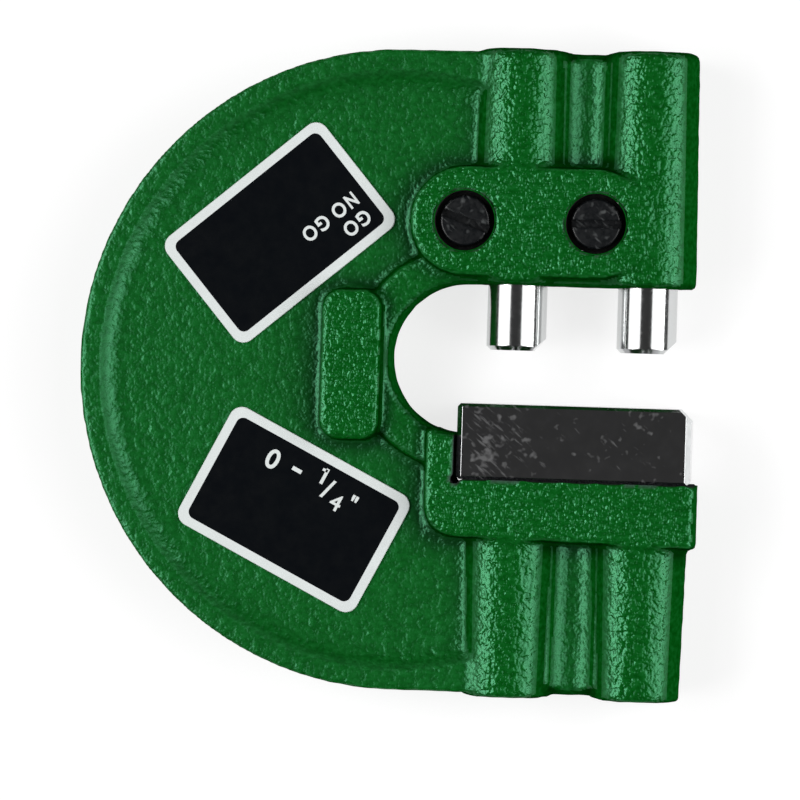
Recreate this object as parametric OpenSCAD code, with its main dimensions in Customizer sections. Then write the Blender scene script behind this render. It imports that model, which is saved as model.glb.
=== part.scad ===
// Adjustable limit snap gauge: a cast C frame carries a fixed anvil block and two
// gauging pins, each with its adjusting screw and a split clamp that locks it.
// Millimetres. The gauge lies on its back lands, +Z towards the front face and +Y
// towards the arm that holds the pins.

/* [Frame casting] */
// Outer radius of the C
frame_r = 33.85; // [32:0.05:38]
// Thickness across the rim
rim_t = 6.8; // [5.6:0.1:8]
// Width of the flat on top of the rim
rim_w = 2.1; // [1.5:0.1:3]
// Width of the slope from the rim down to the web
rim_slope = 1.3; // [0.6:0.1:2]
// Rounding of the rim's outer edge
rim_edge = 0.4; // [0.2:0.1:2]
// Thickness of the web
web_t = 4.6; // [3:0.1:5.2]
// Thickness across the raised lands that the gauge lies on
land_t = 10.4; // [10:0.1:13]
// Chamfer round the lands
land_edge = 0.4; // [0.2:0.05:0.8]

/* [Throat] */
// Radius of the throat's round end
throat_r = 7.95; // [7:0.05:9]
// Centre of the round end, to the right of the C's centre
throat_x = 7.1; // [5:0.1:8]
// Centre of the round end, above the C's centre
throat_y = 1.35; // [0:0.05:2.5]
// Rounding of the throat's edges
throat_edge = 0.5; // [0.2:0.05:0.9]
// Width of the bead round the throat
bead_w = 3.9; // [3:0.05:5]
// Thickness across the bead
bead_t = 7.2; // [6:0.1:8]

/* [Centre land] */
// Width of the land beside the throat
centre_land_w = 6.2; // [5:0.1:8]
// Height of the land beside the throat
centre_land_h = 15.7; // [12:0.1:18]
// Corner radius of the land
centre_land_corner = 2; // [1:0.1:2.4]
// How far the land's middle lies below the throat's centre
centre_land_drop = 0.9; // [0:0.1:2]
// Strip of bead left between the land and the throat
centre_land_gap = 0.85; // [0.3:0.05:1.5]

/* [Bosses] */
// Inner pin's axis, to the right of the C's centre
inner_pin_x = 12.35; // [12:0.05:13]
// Distance between the two pin axes
pin_spacing = 13.8; // [13.2:0.1:15]
// Radius of an upper boss at the throat
upper_root_r = 5.1; // [4.8:0.05:5.15]
// Radius of an upper boss at its end
upper_end_r = 4.75; // [4.3:0.05:4.8]
// Radius of a lower boss at the anvil seat
lower_root_r = 5.05; // [4.6:0.05:5.15]
// Radius of a lower boss at its end
lower_end_r = 4.5; // [4.2:0.05:4.6]
// How far the boss ends stand out past the rim
boss_over = 0.35; // [0.1:0.05:1]
// Rounding of the upper boss ends
upper_end_edge = 1; // [0.3:0.1:1.2]
// Rounding of the lower boss ends
lower_end_edge = 0.5; // [0.3:0.1:1]
// How far the web between the upper bosses stops short of their ends
upper_web_notch = 0.2; // [0.1:0.05:2]
// How far the web between the lower bosses stops short of their ends
lower_web_notch = 0.2; // [0.1:0.05:2]
// Bevel along the ends of that web
web_bevel = 1.2; // [0.4:0.1:2]
// Thickness of that web at the bottom of its valley
valley_t = 2.4; // [1.6:0.1:3.6]

/* [Gauging pins] */
// Diameter of the pins
pin_d = 6.35; // [6:0.05:6.5]
// Length of the pins
pin_l = 21.5; // [20:0.1:23]
// Gap between the outer (go) pin and the anvil
go_gap = 5.75; // [5:0.05:6.35]
// How much smaller the inner (no-go) gap is
limit_step = 0.05; // [0.01:0.01:0.1]
// Lead-in bevel on the side where the work enters
pin_lead_in = 1.35; // [0.8:0.05:2]
// Turned chamfer at both ends of a pin
pin_edge = 0.45; // [0.2:0.05:0.8]
// Radial clearance of a pin in its bore
pin_fit = 0.02; // [0.01:0.005:0.05]

/* [Adjusting screws] */
// Diameter of the adjusting screws
adjust_d = 5.9; // [5:0.05:5.95]
// How far a screw's slotted end lies below the boss end
adjust_recess = 1.2; // [1:0.1:2]
// Diameter of the point that bears on the pin
adjust_point_d = 4; // [3:0.1:4.5]
// Length of the point
adjust_point_l = 0.8; // [0.5:0.1:1.2]
// Width of the screwdriver slot
adjust_slot_w = 1; // [0.6:0.1:1.4]
// Depth of the screwdriver slot
adjust_slot_h = 1.5; // [1:0.1:2]
// Radial clearance that stands for the thread
thread_fit = 0.02; // [0.01:0.005:0.05]
// How far the pin's bore runs on above the pin
pin_headroom = 0.9; // [0.8:0.05:1.5]
// Countersink at the mouth of the screw's hole
adjust_mouth = 0.4; // [0.2:0.05:0.8]

/* [Pin clamps] */
// Distance from a pin's axis to the axis of its clamp
clamp_offset = 5.5; // [5.4:0.05:5.9]
// Height of the clamp axes above the throat's upper wall
clamp_rise = 6.6; // [6.2:0.05:8]
// Radius of the land round each clamp
clamp_land_r = 5.7; // [5:0.05:6]
// Diameter of the clamp's split bushing
clamp_d = 6.3; // [6:0.05:6.4]
// Gap between the two halves of the bushing
clamp_split = 0.9; // [0.8:0.05:1.4]
// Radial clearance of the halves in their bore
clamp_fit = 0.03; // [0.01:0.005:0.06]
// Length of the front half, which carries the screw's head
clamp_front_l = 2.5; // [2:0.1:2.6]
// How far the rear half lies below the rear land
clamp_rear_recess = 0.7; // [0.6:0.05:1.2]
// Diameter of the clamp screw
clamp_screw_d = 3; // [2.5:0.1:3.5]
// Diameter of the screw's head
clamp_head_d = 5.3; // [4.8:0.1:5.8]
// Height of the screw's head
clamp_head_h = 1.6; // [1.2:0.1:1.7]
// Width of the screw's slot
clamp_slot_w = 0.8; // [0.5:0.05:1.1]
// Depth of the screw's slot
clamp_slot_h = 0.8; // [0.5:0.05:1]
// Direction of the inner screw's slot
inner_slot_turn = -20; // [-90:5:90]
// Direction of the outer screw's slot
outer_slot_turn = 0; // [-90:5:90]

/* [Anvil] */
// How far the block reaches inwards past the inner pin's axis
anvil_inner = 5.7; // [5:0.05:6]
// How far the block reaches outwards past the outer pin's axis
anvil_outer = 5.1; // [4:0.05:6]
// Height of the block
anvil_h = 8; // [7:0.1:9]
// Thickness of the block
anvil_t = 9.4; // [8:0.1:9.8]
// Chamfer of the block's edges
anvil_edge = 0.35; // [0.1:0.05:0.6]
// Chamfer of its upright edges
anvil_upright_edge = 0.55; // [0.2:0.05:0.9]
// Lead-in bevel where the work enters
anvil_lead_in = 1.3; // [0.6:0.1:2]
// How far the seat lies below the throat's lower wall
seat_drop = 4.7; // [4:0.05:6]
// Gap between the block and the seat's wall
seat_gap = 0.3; // [0.1:0.05:0.6]
// Width of the seat's wall
seat_wall_w = 2.85; // [2.2:0.05:3.5]
// Height of the cast shelf under the seat, at its inner end
shelf_h = 5.95; // [5.5:0.05:7]
// Slope of the shelf's underside, outwards and down
shelf_slope = 1.2; // [0:0.1:2.5]
// How far the shelf runs on past the block
shelf_over = 0.5; // [0.3:0.1:1.5]
// Corner radius of the shelf
shelf_corner = 2.1; // [1:0.1:2.4]
// Radius of the relief in the seat's corner
seat_relief = 0.5; // [0.3:0.05:0.8]

/* [Anvil screws] */
// Diameter of the anvil screws
anvil_screw_d = 3; // [2.5:0.1:3.5]
// Diameter of their heads
anvil_head_d = 5.5; // [5:0.1:5.6]
// Height of their heads
anvil_head_h = 2; // [1.5:0.1:2.5]
// Width of their slots
anvil_slot_w = 0.8; // [0.5:0.05:1.1]
// Depth of their slots
anvil_slot_h = 0.9; // [0.6:0.05:1.2]
// Cast iron left between the seat and the heads
anvil_clamped = 6.5; // [5:0.1:9]
// Length of screw in the block
anvil_grip = 4.5; // [3.5:0.1:5.5]
// Radial clearance of the screws in the frame
anvil_screw_play = 0.2; // [0.1:0.05:0.4]
// Radial clearance of the heads in the bosses
anvil_head_play = 0.3; // [0.2:0.05:0.5]

/* [Label plates] */
// Length of a label plate
label_l = 21.6; // [18:0.1:22]
// Width of a label plate
label_w = 14.1; // [12:0.1:14.4]
// Thickness of a label plate
label_t = 0.3; // [0.1:0.05:0.6]
// Corner radius of a label plate
label_corner = 1.4; // [0.6:0.1:2.5]
// Distance of the limit label from the C's centre
limit_label_out = 19.2; // [18.6:0.1:19.4]
// Direction of the limit label from the C's centre
limit_label_angle = 132.5; // [131:0.5:134]
// Turn of the limit label
limit_label_turn = 40; // [38:0.5:42]
// Distance of the range label from the C's centre
range_label_out = 18.5; // [17.8:0.1:19]
// Direction of the range label from the C's centre
range_label_angle = 235; // [234:0.5:236]
// Turn of the range label
range_label_turn = -27; // [-29:0.5:-25]

/* [Hidden] */
$fn = 64;
// How far a cutting tool runs past what it cuts
past = 1;
// Steps in a quarter of a rounded edge
round_steps = 5;
// Chamfer of a screw head as a share of its height
head_edge_share = 0.2;
// Chamfer of an adjusting screw's end as a share of its slot's width
slot_edge_share = 0.35;

outer_pin_x = inner_pin_x + pin_spacing;
pin_axes = [inner_pin_x, outer_pin_x];
boss_end = frame_r + boss_over;
throat_top = throat_y + throat_r;
throat_bottom = throat_y - throat_r;
seat_y = throat_bottom - seat_drop;
anvil_top = seat_y + anvil_h;
anvil_screw_seat = seat_y - anvil_clamped;
clamp_y = throat_top + clamp_rise;
shelf_y = seat_y - shelf_h;

// The seat's wall and the shelf are built round the block
anvil_x0 = inner_pin_x - anvil_inner;
anvil_l = anvil_inner + pin_spacing + anvil_outer;
seat_x0 = anvil_x0 - seat_gap - seat_wall_w;
seat_x1 = anvil_x0 + anvil_l + shelf_over;
frame_middle_x = (max(seat_x1, outer_pin_x + upper_root_r) - frame_r) / 2;

go_y = anvil_top + go_gap;
no_go_y = go_y - limit_step;
pin_bore_end = go_y + pin_l + pin_headroom;
adjust_top = boss_end - adjust_recess;

clamp_bore_d = clamp_d + 2 * clamp_fit;
clamp_head_z = clamp_split / 2 + clamp_front_l;
clamp_rear_z = clamp_rear_recess - land_t / 2;

// Outlines

// Points of an arc about a centre, from one angle to another
function arc(centre, r, from, to) =
    [for (i = [0 : round_steps]) let (a = from + (to - from) * i / round_steps) centre + r * [cos(a), sin(a)]];

// Right-hand half of a slab's section: a flat of half-thickness t with rounded outer edges
function rounded_half(w, t, edge) =
    concat(arc([w - edge, edge - t], edge, -90, 0), arc([w - edge, t - edge], edge, 0, 90));

// Right-hand half of a slab's section with chamfered outer edges
function chamfered_half(w, t, edge) = [[w - edge, -t], [w, edge - t], [w, t - edge], [w - edge, t]];

// A half section turned to the left-hand side
function mirrored(half) = [for (p = half) [-p[0], p[1]]];

// The points of an outline in the other order
function reversed(points) = [for (i = [1 : len(points)]) points[len(points) - i]];

// A half section and its mirror image, as one closed outline
function both_halves(half) = concat(half, reversed(mirrored(half)));

// Radius of a valley that runs tangent to two bosses and leaves the web valley_t thick
function valley_r(boss_r) =
    (pow(pin_spacing, 2) + pow(valley_t, 2) - pow(2 * boss_r, 2)) / (4 * (2 * boss_r - valley_t));

// A rectangle with each corner cut at 45 degrees, the top right corner by its own amount
function cut_rectangle(w, h, edge, lead_in) = [
    [edge, 0], [w - edge, 0], [w, edge], [w, h - lead_in],
    [w - lead_in, h], [edge, h], [0, h - edge], [0, edge],
];

module rounded_rectangle(l, w, corner) {
    square([l - 2 * corner, w], center = true);
    square([l, w - 2 * corner], center = true);
    for (x = [-1, 1], y = [-1, 1])
        translate([x * (l / 2 - corner), y * (w / 2 - corner)]) circle(corner);
}

// Placing

// Carries the gauge from the C's centre to the middle of its footprint, on its back lands
module on_its_back() {
    translate([-frame_middle_x, 0, land_t / 2]) children();
}

module along_x() {
    rotate([90, 0, 90]) children();
}

module along_y() {
    rotate([-90, 0, 0]) children();
}

module down_y() {
    rotate([90, 0, 0]) children();
}

// Lands: thick raised pads that reach from the back to the front

module land_disc(r) {
    rotate_extrude() polygon(concat([[0, -land_t / 2]], chamfered_half(r, land_t / 2, land_edge), [[0, land_t / 2]]));
}

// A straight land of a given width that runs along X from the origin
module land_bar(l, w) {
    along_x() linear_extrude(l) polygon(both_halves(chamfered_half(w / 2, land_t / 2, land_edge)));
}

module clamp_land() {
    for (x = pin_axes) translate([x - clamp_offset, clamp_y]) land_disc(clamp_land_r);
    translate([inner_pin_x - clamp_offset, clamp_y]) land_bar(pin_spacing, 2 * clamp_land_r);
}

module centre_land() {
    inner_w = centre_land_w - 2 * centre_land_corner;
    inner_h = centre_land_h - 2 * centre_land_corner;
    translate([
        throat_x - throat_r - centre_land_gap - centre_land_w / 2,
        throat_y - centre_land_drop,
    ]) {
        for (x = [-1, 1], y = [-1, 1])
            translate([x * inner_w / 2, y * inner_h / 2]) land_disc(centre_land_corner);
        translate([-inner_w / 2, 0]) land_bar(inner_w, centre_land_h);
        translate([0, -inner_h / 2]) rotate(90) land_bar(inner_h, centre_land_w);
    }
}

// The L-shaped land under and beside the anvil: shelf, wall and the round corner between
module seat_land() {
    half_t = land_t / 2;
    corner_x = seat_x0 + shelf_corner;
    corner_y = shelf_y + shelf_corner;
    shelf_l = seat_x1 - corner_x;
    intersection() {
        translate([corner_x, corner_y]) rotate(-shelf_slope) along_x() linear_extrude(shelf_l + past)
            polygon(concat([[shelf_h, -half_t]], mirrored(chamfered_half(shelf_corner, half_t, land_edge)),
                [[shelf_h, half_t]]));
        translate([corner_x, shelf_y - shelf_h, 0]) along_y() linear_extrude(2 * shelf_h + past)
            polygon(concat([[0, -half_t]], chamfered_half(shelf_l, half_t, land_edge), [[0, half_t]]));
    }
    translate([corner_x, corner_y, 0]) along_y() linear_extrude(throat_y - throat_r / 2 - corner_y)
        polygon(concat([[seat_wall_w, -half_t]], mirrored(chamfered_half(shelf_corner, half_t, land_edge)),
            [[seat_wall_w, half_t]]));
    translate([corner_x, corner_y]) rotate_extrude(angle = 90, start = 180)
        polygon(concat([[0, -half_t]], chamfered_half(shelf_corner, half_t, land_edge), [[0, half_t]]));
}

// Web, rim and bead

// Half a disc and a straight run to the bosses, with a rounded outer edge
module rim_blank() {
    half = rounded_half(frame_r, rim_t / 2, rim_edge);
    rotate_extrude(angle = 180, start = 90) polygon(concat([[0, -rim_t / 2]], half, [[0, rim_t / 2]]));
    along_x() linear_extrude(inner_pin_x) polygon(both_halves(half));
}

// What is taken out of the blank on each side to leave the web: a dish with a sloped wall
module web_pocket() {
    top_r = frame_r - rim_w;
    rise = (rim_t - web_t) / 2;
    for (side = [0, 1]) mirror([0, 0, side]) rotate_extrude() polygon([
        [0, web_t / 2], [top_r - rim_slope, web_t / 2], [top_r, rim_t / 2],
        [top_r + rim_slope * past / rise, rim_t / 2 + past], [0, rim_t / 2 + past],
    ]);
}

// What hollows one side of the web between two bosses, along +Z
module valley(boss_r, side) {
    r = valley_r(boss_r);
    translate([pin_spacing / 2, side * (valley_t / 2 + r), 0]) cylinder(r = r, h = boss_end + past);
}

// The web that joins the two bosses of each arm, hollowed to a valley and bevelled at its ends
module arm_web() {
    half_t = web_t / 2;
    upper = boss_end - upper_web_notch;
    lower = lower_web_notch - boss_end;
    translate([inner_pin_x, 0, 0]) difference() {
        along_x() linear_extrude(pin_spacing) polygon([
            [lower, 0], [lower + web_bevel, -half_t], [upper - web_bevel, -half_t],
            [upper, 0], [upper - web_bevel, half_t], [lower + web_bevel, half_t],
        ]);
        for (side = [-1, 1]) {
            along_y() valley(upper_root_r, side);
            down_y() valley(lower_root_r, side);
        }
    }
}

module throat_bead() {
    inside = throat_r - throat_edge;
    half = rounded_half(throat_r + bead_w, bead_t / 2, throat_edge);
    translate([throat_x, throat_y]) rotate_extrude(angle = 180, start = 90)
        polygon(concat([[inside, -bead_t / 2]], half, [[inside, bead_t / 2]]));
    translate([throat_x, throat_y]) along_x() linear_extrude(outer_pin_x - throat_x)
        polygon(concat([[inside, -bead_t / 2]], half, [[inside, bead_t / 2]]));
}

// A tapered boss that starts at the origin and runs along +Z
module boss(root_r, end_r, l, edge) {
    rotate_extrude() polygon(concat(
        [[0, 0], [root_r, 0]],
        arc([end_r - edge, l - edge], edge, 0, 90),
        [[0, l]]
    ));
}

module bosses() {
    for (x = pin_axes) {
        translate([x, throat_top - past, 0]) along_y()
            boss(upper_root_r, upper_end_r, boss_end - throat_top + past, upper_end_edge);
        translate([x, seat_y - past, 0]) down_y()
            boss(lower_root_r, lower_end_r, boss_end + seat_y - past, lower_end_edge);
    }
}

// Cuts

// The throat, with a flared mouth on both sides that rounds the edges it leaves
module throat_cut() {
    half_t = bead_t / 2;
    far = land_t;
    mouth = throat_r + throat_edge;
    section = concat(
        [[0, -far], [mouth, -far]],
        arc([mouth, throat_edge - half_t], throat_edge, 270, 180),
        arc([mouth, half_t - throat_edge], throat_edge, 180, 90),
        [[mouth, far], [0, far]]
    );
    translate([throat_x, throat_y]) {
        rotate_extrude(angle = 180, start = 90) polygon(section);
        along_x() linear_extrude(seat_x1) polygon(section);
        along_x() linear_extrude(seat_x1) polygon(mirrored(section));
    }
}

module seat_cut() {
    translate([anvil_x0 - seat_gap, seat_y, -land_t])
        cube([seat_x1 - anvil_x0 + seat_gap + past, throat_y - seat_y, 2 * land_t]);
    translate([anvil_x0 - seat_gap + seat_relief / 2, seat_y, -land_t]) cylinder(r = seat_relief, h = 2 * land_t);
}

module pin_bores() {
    for (x = pin_axes) {
        translate([x, throat_top - past, 0]) along_y()
            cylinder(d = pin_d + 2 * pin_fit, h = pin_bore_end - throat_top + past);
        translate([x, pin_bore_end - past, 0]) along_y()
            cylinder(d = adjust_d + 2 * thread_fit, h = boss_end - pin_bore_end + 2 * past);
        translate([x, boss_end - adjust_mouth, 0]) along_y() cylinder(
            r1 = adjust_d / 2 + thread_fit,
            r2 = adjust_d / 2 + thread_fit + adjust_mouth + past,
            h = adjust_mouth + past
        );
    }
}

module clamp_bores() {
    for (x = pin_axes)
        translate([x - clamp_offset, clamp_y]) cylinder(d = clamp_bore_d, h = land_t + 2 * past, center = true);
}

module anvil_screw_holes() {
    for (x = pin_axes) {
        translate([x, seat_y + past, 0]) down_y()
            cylinder(d = anvil_screw_d + 2 * anvil_screw_play, h = anvil_clamped + 2 * past);
        translate([x, anvil_screw_seat, 0]) down_y()
            cylinder(d = anvil_head_d + 2 * anvil_head_play, h = boss_end + anvil_screw_seat + past);
    }
}

// Pieces

module frame() {
    color("darkgreen") on_its_back() difference() {
        union() {
            difference() {
                rim_blank();
                web_pocket();
            }
            arm_web();
            throat_bead();
            bosses();
            clamp_land();
            centre_land();
            seat_land();
        }
        throat_cut();
        seat_cut();
        pin_bores();
        clamp_bores();
        anvil_screw_holes();
    }
}

module anvil_block() {
    color("dimgray") on_its_back() translate([anvil_x0, seat_y, 0]) difference() {
        intersection() {
            translate([0, 0, -anvil_t / 2]) linear_extrude(anvil_t)
                polygon(cut_rectangle(anvil_l, anvil_h, anvil_edge, anvil_lead_in));
            translate([0, 0, -anvil_t / 2]) along_x() linear_extrude(anvil_l)
                polygon(cut_rectangle(anvil_h, anvil_t, anvil_edge, anvil_edge));
            translate([0, 0, anvil_t / 2]) along_y() linear_extrude(anvil_h)
                polygon(cut_rectangle(anvil_l, anvil_t, anvil_upright_edge, anvil_upright_edge));
        }
        for (x = pin_axes) translate([x - anvil_x0, -past, 0]) along_y()
            cylinder(d = anvil_screw_d + 2 * thread_fit, h = anvil_grip + 2 * past);
    }
}

// A slotted cheese-head screw along +Z, with the seat of its head at the origin
module slotted_screw(shank_d, shank_l, head_d, head_h, slot_w, slot_h, turn) {
    edge = head_edge_share * head_h;
    difference() {
        union() {
            cylinder(d = shank_d, h = shank_l);
            rotate([180, 0, 0]) rotate_extrude() polygon(concat(
                [[0, 0], [head_d / 2, 0]],
                arc([head_d / 2 - edge, head_h - edge], edge, 0, 90),
                [[0, head_h]]
            ));
        }
        rotate(turn) translate([0, 0, -head_h]) cube([head_d + past, slot_w, 2 * slot_h], center = true);
    }
}

module anvil_screw(x) {
    color("#303030") on_its_back() translate([x, anvil_screw_seat, 0]) along_y() slotted_screw(
        anvil_screw_d, anvil_clamped + anvil_grip, anvil_head_d, anvil_head_h, anvil_slot_w, anvil_slot_h, 0
    );
}

module gauging_pin(x, y) {
    r = pin_d / 2;
    color("silver") on_its_back() translate([x, y, 0]) along_y() difference() {
        rotate_extrude() polygon([
            [0, 0], [r - pin_edge, 0], [r, pin_edge], [r, pin_l - pin_edge], [r - pin_edge, pin_l], [0, pin_l],
        ]);
        translate([r - pin_lead_in, 0, 0]) rotate([0, 45, 0])
            translate([0, -pin_d, -pin_d]) cube([pin_d, 2 * pin_d, 2 * pin_d]);
    }
}

module adjusting_screw(x, y) {
    seat = y + pin_l;
    l = adjust_top - seat;
    edge = slot_edge_share * adjust_slot_w;
    color("#2a2a2a") on_its_back() translate([x, seat, 0]) along_y() difference() {
        rotate_extrude() polygon([
            [0, 0], [adjust_point_d / 2, 0], [adjust_point_d / 2, adjust_point_l],
            [adjust_d / 2 - edge, adjust_point_l], [adjust_d / 2, adjust_point_l + edge],
            [adjust_d / 2, l - edge], [adjust_d / 2 - edge, l], [0, l],
        ]);
        translate([0, 0, l]) cube([adjust_d + past, adjust_slot_w, 2 * adjust_slot_h], center = true);
    }
}

module clamp_screw(x, turn) {
    color("#202020") on_its_back() translate([x - clamp_offset, clamp_y, clamp_head_z]) rotate([180, 0, 0])
        slotted_screw(
            clamp_screw_d, clamp_head_z - clamp_rear_z, clamp_head_d, clamp_head_h,
            clamp_slot_w, clamp_slot_h, -turn
        );
}

// One half of a split bushing, from z0 to z1, hollowed by the pin that it grips
module clamp_half(x, z0, z1, hole_d) {
    color("#3a3a3a") on_its_back() translate([x - clamp_offset, clamp_y, 0]) difference() {
        translate([0, 0, z0]) cylinder(d = clamp_d, h = z1 - z0);
        translate([0, 0, z0 - past]) cylinder(d = hole_d, h = z1 - z0 + 2 * past);
        translate([clamp_offset, -clamp_d, 0]) along_y() cylinder(d = pin_d + 2 * pin_fit, h = 2 * clamp_d);
    }
}

module clamp_bushing(x) {
    clamp_half(x, clamp_split / 2, clamp_head_z, clamp_screw_d + 4 * clamp_fit);
}

module clamp_nut(x) {
    clamp_half(x, clamp_rear_z, -clamp_split / 2, clamp_screw_d + 2 * thread_fit);
}

module label_plate(out, angle, turn) {
    color("#101418") on_its_back()
        translate([out * cos(angle), out * sin(angle), web_t / 2]) rotate(turn)
            linear_extrude(label_t) rounded_rectangle(label_l, label_w, label_corner);
}

frame();
anvil_block();
anvil_screw(inner_pin_x);  // inner_anvil_screw
anvil_screw(outer_pin_x);  // outer_anvil_screw
gauging_pin(outer_pin_x, go_y);  // go_pin
gauging_pin(inner_pin_x, no_go_y);  // no_go_pin
adjusting_screw(outer_pin_x, go_y);  // go_adjusting_screw
adjusting_screw(inner_pin_x, no_go_y);  // no_go_adjusting_screw
clamp_screw(outer_pin_x, outer_slot_turn);  // go_clamp_screw
clamp_screw(inner_pin_x, inner_slot_turn);  // no_go_clamp_screw
clamp_bushing(outer_pin_x);  // go_clamp_bushing
clamp_bushing(inner_pin_x);  // no_go_clamp_bushing
clamp_nut(outer_pin_x);  // go_clamp_nut
clamp_nut(inner_pin_x);  // no_go_clamp_nut
label_plate(limit_label_out, limit_label_angle, limit_label_turn);  // limit_label
label_plate(range_label_out, range_label_angle, range_label_turn);  // range_label
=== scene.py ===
"""Looks of an adjustable limit snap gauge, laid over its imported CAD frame.

Lengths are in metres, in the frame's own axes. The gauge lies on its back lands, +Z comes out of the face that
carries the labels, +Y points to the arm with the pins and +X to the open end of the throat.
"""

import logging
import math
from dataclasses import dataclass, field
from enum import Enum
from typing import Callable

import bmesh
import bpy
import numpy as np
from mathutils import Matrix, Vector


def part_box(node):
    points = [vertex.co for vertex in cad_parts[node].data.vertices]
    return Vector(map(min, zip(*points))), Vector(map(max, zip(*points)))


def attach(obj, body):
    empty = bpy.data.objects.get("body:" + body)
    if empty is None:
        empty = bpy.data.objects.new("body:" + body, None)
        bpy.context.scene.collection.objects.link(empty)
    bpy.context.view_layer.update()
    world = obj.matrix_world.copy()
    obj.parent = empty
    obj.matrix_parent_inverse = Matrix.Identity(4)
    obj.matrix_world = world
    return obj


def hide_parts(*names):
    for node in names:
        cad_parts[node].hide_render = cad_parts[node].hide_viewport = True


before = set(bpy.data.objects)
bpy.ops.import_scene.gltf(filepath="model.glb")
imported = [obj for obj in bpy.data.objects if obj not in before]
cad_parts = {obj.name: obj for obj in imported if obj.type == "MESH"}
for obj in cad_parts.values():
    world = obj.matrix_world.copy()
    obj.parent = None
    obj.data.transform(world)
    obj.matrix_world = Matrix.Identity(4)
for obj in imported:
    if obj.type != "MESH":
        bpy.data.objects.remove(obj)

MM = 0.001
CAPITAL = 0.7  # height of a capital of the built-in font at size 1
NOISE_SPAN = (0.3, 0.7)  # where most values of a noise texture lie
LEAST_ROUGHNESS = 0.02
LOG = logging.getLogger("snap_gauge")

Array = np.ndarray
Field = Callable[[Array], Array]
Place = tuple[Array, Array, Array]
Triple = tuple[float, float, float]
Span = tuple[float, float]
Material = bpy.types.Material
Object = bpy.types.Object
Socket = bpy.types.NodeSocket


class Slot(Enum):
    """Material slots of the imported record."""

    ENAMEL = "enamelled_casting"
    STEEL = "ground_steel"
    BLACK = "black_steel"
    LABEL = "label_plate"


class Side(Enum):
    """The two pin and clamp sets of the gauge, by the prefix of their CAD nodes."""

    GO = "go"
    NO_GO = "no_go"


def linked(name: str, data: bpy.types.ID) -> Object:
    """Make an object at the origin and link it to the scene.

    Args:
        name: Name of the object.
        data: Its mesh, text, lamp or camera.

    Returns:
        The new object.
    """
    obj = bpy.data.objects.new(name, data)
    bpy.context.scene.collection.objects.link(obj)
    return obj


# Surfaces as arrays


@dataclass
class Surface:
    """Points and quads of a surface, held as whole arrays.

    Attributes:
        points: One row a point, in metres.
        quads: Four point numbers a row, counter-clockwise seen from outside.
    """

    points: Array
    quads: Array

    def joined(self, other: "Surface") -> "Surface":
        """Both surfaces in the same arrays."""
        return Surface(
            np.concatenate([self.points, other.points]),
            np.concatenate([self.quads, other.quads + len(self.points)]),
        )

    def placed(self, matrix: Matrix) -> "Surface":
        """The surface with its points carried by a 4 x 4 matrix."""
        m = np.array(matrix)
        return Surface(self.points @ m[:3, :3].T + m[:3, 3], self.quads)

    def to_object(self, name: str, crease: float = math.radians(32)) -> Object:
        """Make a smooth-shaded Blender object at the origin.

        Args:
            name: Name of the object.
            crease: Angle between faces above which an edge stays sharp.

        Returns:
            The new object, linked to the scene.
        """
        mesh = bpy.data.meshes.new(name)
        count = len(self.quads)
        mesh.vertices.add(len(self.points))
        mesh.vertices.foreach_set("co", self.points.astype(np.float32).ravel())
        mesh.loops.add(4 * count)
        mesh.loops.foreach_set("vertex_index", self.quads.astype(np.int32).ravel())
        mesh.polygons.add(count)
        mesh.polygons.foreach_set("loop_start", np.arange(count, dtype=np.int32) * 4)
        mesh.update(calc_edges=True)
        mesh.validate()
        mesh.shade_smooth()
        mesh.set_sharp_from_angle(angle=crease)
        return linked(name, mesh)


def grid_quads(rows: int, cols: int, wrap: bool = False) -> Array:
    """Number the quads of a grid of points stored row after row.

    Args:
        rows: Rows of points.
        cols: Points in a row.
        wrap: Whether the last column joins the first.

    Returns:
        Four point numbers a quad.
    """
    i, j = np.meshgrid(np.arange(rows - 1), np.arange(cols if wrap else cols - 1), indexing="ij")
    k = (j + 1) % cols
    return np.stack([i * cols + j, i * cols + k, (i + 1) * cols + k, (i + 1) * cols + j], axis=-1).reshape(-1, 4)


def turned(profile: Array, steps: int = 96) -> Surface:
    """Carry a profile round the Z axis: P(u, v) = (r(v) cos u, r(v) sin u, h(v)).

    Args:
        profile: Radius and height of each point, going up the outside of the piece.
        steps: Points round a full turn.

    Returns:
        The turned surface.
    """
    u = np.linspace(0, 2 * math.pi, steps, endpoint=False)
    r, h = profile[:, :1], profile[:, 1:]
    points = np.stack([r * np.cos(u), r * np.sin(u), np.broadcast_to(h, (len(r), steps))], axis=-1)
    return Surface(points.reshape(-1, 3), grid_quads(len(profile), steps, wrap=True))


def quarter(centre: Span, r: float, start: float, end: float, steps: int) -> Array:
    """Points of an arc in a profile.

    Args:
        centre: Radius and height of the arc's centre.
        r: Radius of the arc.
        start: First angle in degrees.
        end: Last angle in degrees.
        steps: Points on the arc.

    Returns:
        One row a point.
    """
    a = np.radians(np.linspace(start, end, steps))
    return np.stack([centre[0] + r * np.cos(a), centre[1] + r * np.sin(a)], axis=1)


# Distance fields, from which the casting is drawn


def smooth_max(a: Array, b: Array, k: float) -> Array:
    """The larger of two distances with the corner between them rounded over a length k."""
    h = np.maximum(k - np.abs(a - b), 0) / k
    return np.maximum(a, b) + h * h * k / 4


def smooth_min(a: Array, b: Array, k: float) -> Array:
    """The smaller of two distances with the corner between them filled over a length k."""
    return -smooth_max(-a, -b, k)


def slab(plan: Array, z: Array, half: float, edge: float) -> Array:
    """Distance to a plan shape carried to plus and minus half in Z, with rounded edges.

    Args:
        plan: Distance to the outline in plan.
        z: Height above the middle plane, never negative.
        half: Half of the thickness.
        edge: Radius of the edges.

    Returns:
        The distance, negative inside.
    """
    a, b = plan + edge, z - half + edge
    return np.minimum(np.maximum(a, b), 0) + np.hypot(np.maximum(a, 0), np.maximum(b, 0)) - edge


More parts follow.
